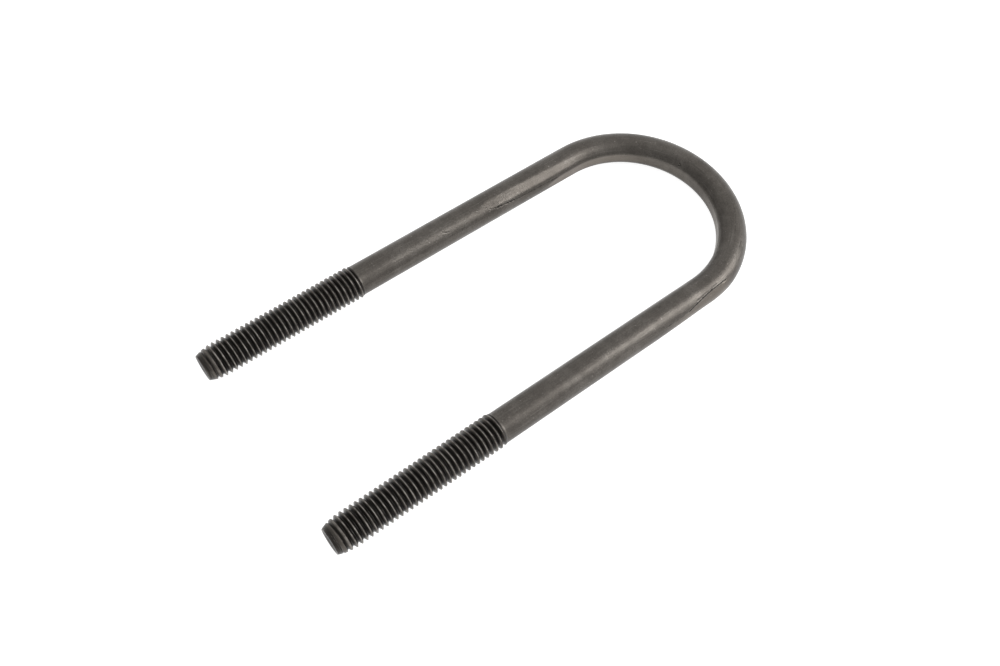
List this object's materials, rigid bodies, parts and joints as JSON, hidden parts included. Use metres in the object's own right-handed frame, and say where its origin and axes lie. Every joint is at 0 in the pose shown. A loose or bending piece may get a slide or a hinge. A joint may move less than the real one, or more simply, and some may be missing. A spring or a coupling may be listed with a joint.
{
  "type": "u-bolt",
  "caption": "U-bolt of round steel bar: a half-round bend between parallel legs that end in rolled metric threads, for clamping a pipe or bar to a plate.",
  "frame": {"origin": "centre of the bend, in the middle of the bar's thickness", "axes": "+Z along the axis of the pipe that the bend holds, +Y from the threaded tips to the top of the bend, +X from the left leg to the right leg with the bend away from the viewer"},
  "size_m": [0.071, 0.1634, 0.01],
  "materials": {
    "dark_steel": "satin black"
  },
  "bodies": {
    "root": {"u_bolt": "dark_steel"}
  },
  "joints": []
}
